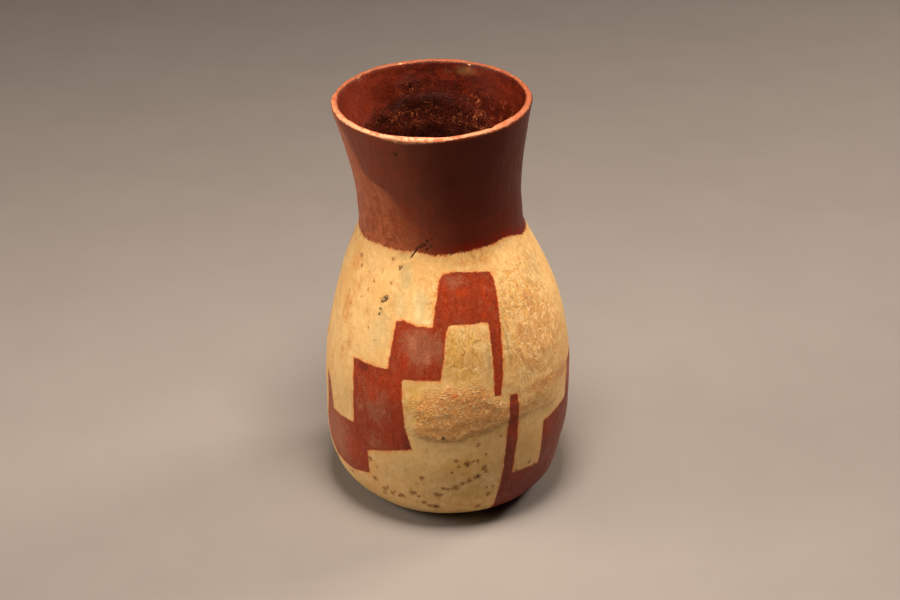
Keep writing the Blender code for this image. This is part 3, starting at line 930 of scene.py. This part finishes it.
def band_slip(tree, grains):
    """The red of the bands: dusty, bright and dark patches, a deep line inside its edge, rubbed flecks, and
    orange where the slip runs thin at the edge."""
    depth = kept_value(tree, "band_depth")
    dusty, bright = kept_value(tree, "dusty_red"), kept_value(tree, "bright_red")
    red = lay(tree, RED, RED_BRIGHT, spread(tree, grains.clouds, 0.40, 0.60, 0.0, 0.3))
    for name, tone, strength in RED_TONES:
        red = toned(tree, grains, red, name, tone, strength)
    thick_edge = spread(tree, depth, 0.4, 2.0, 1.0, 0.0)
    red = lay(tree, red, RED_DEEP, thick_edge, spread(tree, grains.mottle, 0.48, 0.60), 0.7)
    hatched = spread(tree, grains.hatch, 0.36, 0.50, 1.0, 0.0)
    red = lay(tree, red, RED_DEEP, hatched, spread(tree, dusty, 0.1, 0.6, 0.38, 0.12))
    curls = thin_lines(tree, grains.curls, 0.46, 0.0, 0.025)
    red = lay(tree, red, RED_DEEP, curls, spread(tree, bright, 0.0, 0.8, 0.35, 0.75))
    red = lay(tree, red, RED_DUSTY, spread(tree, grains.mottle, 0.52, 0.60), 0.28)
    red = toned(tree, grains, red, "rubbed", RUBBED, 0.5, 0.3, 1.0, 2.2)
    red = lay(tree, red, RED_DEEP, thin_lines(tree, grains.speckle, 0.47, 0.0, 0.045), 0.40)
    rubbed = spread(tree, grains.speckle, 0.57, 0.65)
    red = lay(tree, red, RUBBED, rubbed, spread(tree, dusty, 0.1, 0.9, 0.05, 0.55))
    flecks = spread(tree, grains.speckle, 0.57, 0.66)
    red = lay(tree, red, FLECK, flecks, spread(tree, bright, 0.0, 0.9, 0.07, 0.4))
    thin_edge = spread(tree, depth, -0.2, 0.9, 1.0, 0.0)
    return lay(tree, red, FLECK, thin_edge, spread(tree, grains.patches, 0.44, 0.56, 0.05, 0.8))


def neck_slip(tree, grains):
    """The neck's darker red: lighter at its left as painted light, darker from the front to the right as
    painted shade, and crimson along its lower edge where that shade lies."""
    depth = kept_value(tree, "neck_depth")
    lit, dark = kept_value(tree, "neck_painted_light"), kept_value(tree, "neck_painted_shade")
    # Painted shade from the front to the right, and painted light at the left
    neck = lay(tree, lay(tree, NECK, NECK_PAINTED_SHADE, dark), NECK_PAINTED_LIGHT, lit)
    neck = lay(tree, neck, NECK_PAINTED_SHADE, spread(tree, grains.strokes, 0.50, 0.68, 0.0, 0.25))
    low = spread(tree, depth, 0.0, 26.0, 1.0, 0.25)
    neck = lay(tree, neck, NECK, lit, low, spread(tree, grains.mottle, 0.46, 0.56, 0.0, 0.60))
    ruddy = spread(tree, grains.patches, 0.46, 0.58, 0.0, 0.5)
    neck = lay(tree, neck, NECK_RED, ruddy, spread(tree, dark, 0.0, 1.0, 1.0, 0.1))
    neck = lay(tree, neck, TAN, lit, low, spread(tree, grains.speckle, 0.60, 0.70, 0.0, 0.8))
    low_edge = spread(tree, depth, 1.2, 6.0, 1.0, 0.0)
    return lay(tree, neck, CRIMSON, low_edge, dark, spread(tree, grains.mottle, 0.36, 0.52))


def inside_slip(tree, grains):
    """The red inside the neck, painted nearly black as shade, brushed round it, with sooty lines and red
    flecks, and with painted light on its left wall and near the lip at the back and right.
    """
    # Painted shade: the inside's red is painted nearly black
    inside = lay(tree, RED_INSIDE_SHADED, INSIDE_LIGHT, spread(tree, grains.brushed, 0.42, 0.62))
    inside = lay(tree, inside, SOOT_AND_SHADE, spread(tree, grains.mottle, 0.36, 0.46, 0.5, 0.0))
    # Painted light on the inside's left wall and near the lip
    inside = lay(tree, inside, INSIDE_PAINTED_LIGHT, kept_value(tree, "painted_light_inside"), 0.8)
    inside = lay(tree, inside, SOOT_AND_SHADE, thin_lines(tree, grains.speckle, 0.46, 0.0, 0.05), 0.45)
    return lay(tree, inside, RED_BRIGHT, spread(tree, grains.speckle, 0.60, 0.70), 0.35)


def worn_lip(tree, grains, masks, colour):
    """The lip rubbed to orange, paler at its front and left with a painted highlight over the wear, and with
    pale clay where it has chipped.
    """
    # Paler at the front and left: rubbed slip with a painted highlight
    lip = lay(tree, LIP_ORANGE, LIP_HIGHLIGHT_AND_WEAR, kept_value(tree, "lip_highlight_and_wear"))
    lip = lay(tree, lip, CHIP, spread(tree, grains.speckle, 0.58, 0.70, 0.0, 0.7))
    lip = lay(tree, lip, LIP_RED, spread(tree, grains.mottle, 0.40, 0.50, 0.75, 0.0))
    colour = lay(tree, colour, lip, masks.lip, 0.9)
    return lay(tree, colour, CHIP, broken_up(tree, kept_value(tree, "chips"), grains.speckle, 1.0, 0.6, 0.8))


def rough_throat(tree, grains, colour):
    """The dark crumbled zone in the throat, with darker patches, painted shade deep inside, a pale smudge and
    fine bright strokes of painted glint on the crumbs.
    """
    ground = lay(tree, DARK_THROAT, CRUMB, spread(tree, grains.crumbs, 0.42, 0.58))
    rough = broken_up(tree, kept_value(tree, "rough_inside"), grains.mottle, 1.4, 0.1, 0.9)
    colour = lay(tree, colour, ground, rough, 0.85)
    # Darker patches, and painted shade all round deep inside
    colour = toned(tree, grains, colour, "throat_dark", SOOT_AND_SHADE, 0.8, 0.15, 1.0, 1.8)
    colour = toned(tree, grains, colour, "smudge", SMUDGE, 0.5, 0.2, 1.1)
    # Painted glints on the crumbs
    lines = thin_lines(tree, grains.curls, 0.5, 0.006, 0.036)
    uneven = spread(tree, grains.mottle, 0.44, 0.56, 0.4, 1.0)
    return lay(tree, colour, GLINT, lines, grains.strewn, uneven, kept_value(tree, "glints"))


def marked(tree, grains, masks, colour):
    """Brown specks, black marks, fine dust on the cream, and the crack."""
    colour = lay(tree, colour, STAIN, masks.specks, 0.85)
    colour = lay(tree, colour, SOOT_AND_SHADE, masks.black_specks, 0.85)
    on_cream = combine(tree, "SUBTRACT", 1.0, masks.red)
    colour = lay(tree, colour, VEIN_AND_SHADE, spread(tree, grains.speckle, 0.68, 0.74), on_cream, 0.5)
    return lay(tree, colour, SOOT_AND_SHADE, masks.crack)


def fine_height(tree, grains, masks):
    """The height of the finest relief, in millimetres: each layer is the product of its parts."""
    streaky = kept_value(tree, "streaky")
    crust, rough = kept_value(tree, "crust"), kept_value(tree, "rough_inside")
    total = product(tree, grains.hatch, spread(tree, streaky, 0.0, 1.0, 0.10, 0.60))
    for layer in (
        (grains.mottle, 0.14),
        (grains.speckle, spread(tree, streaky, 0.0, 1.0, 0.04, 0.12)),
        (grains.crumbs, crust, 0.85),
        (grains.crumbs, rough, 1.6),
        (grains.crests, crust, 0.22),
        (grains.mottle, masks.lip, 0.5),
        (masks.specks, -0.04),
        (masks.crack, -0.4),
    ):
        total = combine(tree, "ADD", total, product(tree, *layer))
    return total


def fired_surface():
    """The material: the slips over each other, then the wear, then the gloss and the finest relief."""
    material = bpy.data.materials.new("slipped_earthenware")
    material.use_nodes = True
    tree = material.node_tree
    shader = tree.nodes["Principled BSDF"]
    grains = slip_grains(tree)
    masks = slip_masks(tree, grains)

    cream = crusted(tree, grains, cream_slip(tree, grains))
    cream = lay(tree, cream, HALO, masks.halo, spread(tree, grains.mottle, 0.42, 0.58, 0.10, 0.85))
    neck = lay(tree, neck_slip(tree, grains), inside_slip(tree, grains), kept_value(tree, "inside"))
    red = lay(tree, band_slip(tree, grains), neck, masks.neck)
    colour = worn_lip(tree, grains, masks, lay(tree, cream, red, masks.red))
    colour = marked(tree, grains, masks, rough_throat(tree, grains, colour))

    gloss = spread(tree, grains.strokes, 0.3, 0.7, 0.42, 0.55)
    gloss = combine(tree, "SUBTRACT", gloss, product(tree, masks.neck, 0.06))
    dry = combine(tree, "MAXIMUM", kept_value(tree, "crust"), kept_value(tree, "tan"))
    gloss = combine(tree, "ADD", gloss, product(tree, dry, 0.08))
    dull_neck = product(tree, masks.neck, kept_value(tree, "neck_painted_shade"), 0.42)
    dull = combine(tree, "MAXIMUM", kept_value(tree, "rough_inside"), dull_neck)
    fine = {"Height": fine_height(tree, grains, masks), "Distance": MILLIMETRE, "Strength": 1.0}
    for name, value in (
        ("Base Color", colour),
        ("Roughness", gloss),
        ("Specular IOR Level", spread(tree, dull, 0.0, 0.8, SHEEN, 0.0)),
        ("Normal", put(tree, "ShaderNodeBump", fine).outputs[0]),
    ):
        tree.links.new(value, shader.inputs[name])
    return material


jug_mesh.materials.append(fired_surface())

# The floor and the light
# A plain pale table that runs out of sight, two broad soft lights high at the left and right, and a faint
# one above.
FLOOR_SIDE = 6.0
FLOOR_COLOUR = (0.275, 0.270, 0.265, 1.0)
FLOOR_DARKER = (0.96 * 0.275, 0.96 * 0.270, 0.96 * 0.265, 1.0)
FLOOR_ROUGHNESS = 0.75
LIGHT_COLOUR = (1.0, 0.80, 0.65)
AIR_COLOUR = (1.0, 0.90, 0.80, 1.0)
AIR_STRENGTH = 0.006
# name: azimuth from the front towards the right, elevation, distance, side, power
LIGHTS = {
    "left_light": (-82.0, 28.0, 1.0, 0.50, 6.4),
    "right_light": (118.0, 35.0, 1.0, 0.30, 6.7),
    "top_light": (0.0, 77.7, 0.47, 0.15, 4.2),
}

bpy.ops.mesh.primitive_plane_add(size=FLOOR_SIDE)
floor = bpy.context.object
floor.name = "floor"
floor_material = bpy.data.materials.new("pale_floor")
floor_material.use_nodes = True
floor_tree = floor_material.node_tree
floor_clouds = grain(floor_tree, scaled_place(floor_tree, TO_MILLIMETRES), 0.02, 5.0)
floor_shade = spread(floor_tree, floor_clouds, 0.3, 0.7)
floor_shader = floor_tree.nodes["Principled BSDF"]
floor_colour = lay(floor_tree, FLOOR_COLOUR, FLOOR_DARKER, floor_shade)
floor_tree.links.new(floor_colour, floor_shader.inputs["Base Color"])
floor_shader.inputs["Roughness"].default_value = FLOOR_ROUGHNESS
floor.data.materials.append(floor_material)

for name, (azimuth, rise, distance, side, power) in LIGHTS.items():
    lamp = bpy.data.lights.new(name, "AREA")
    lamp.shape = "SQUARE"
    lamp.size = side
    lamp.energy = power
    lamp.color = LIGHT_COLOUR
    holder = bpy.data.objects.new(name, lamp)
    turn, lift = math.radians(azimuth), math.radians(rise)
    way = Vector((math.sin(turn) * math.cos(lift), -math.cos(turn) * math.cos(lift), math.sin(lift)))
    holder.location = VIEW_AIM + distance * way
    holder.rotation_euler = way.to_track_quat("Z", "Y").to_euler()
    bpy.context.scene.collection.objects.link(holder)

air = bpy.data.worlds.new("air")
air.use_nodes = True
air.node_tree.nodes["Background"].inputs["Color"].default_value = AIR_COLOUR
air.node_tree.nodes["Background"].inputs["Strength"].default_value = AIR_STRENGTH
bpy.context.scene.world = air
bpy.context.scene.view_settings.view_transform = "Standard"
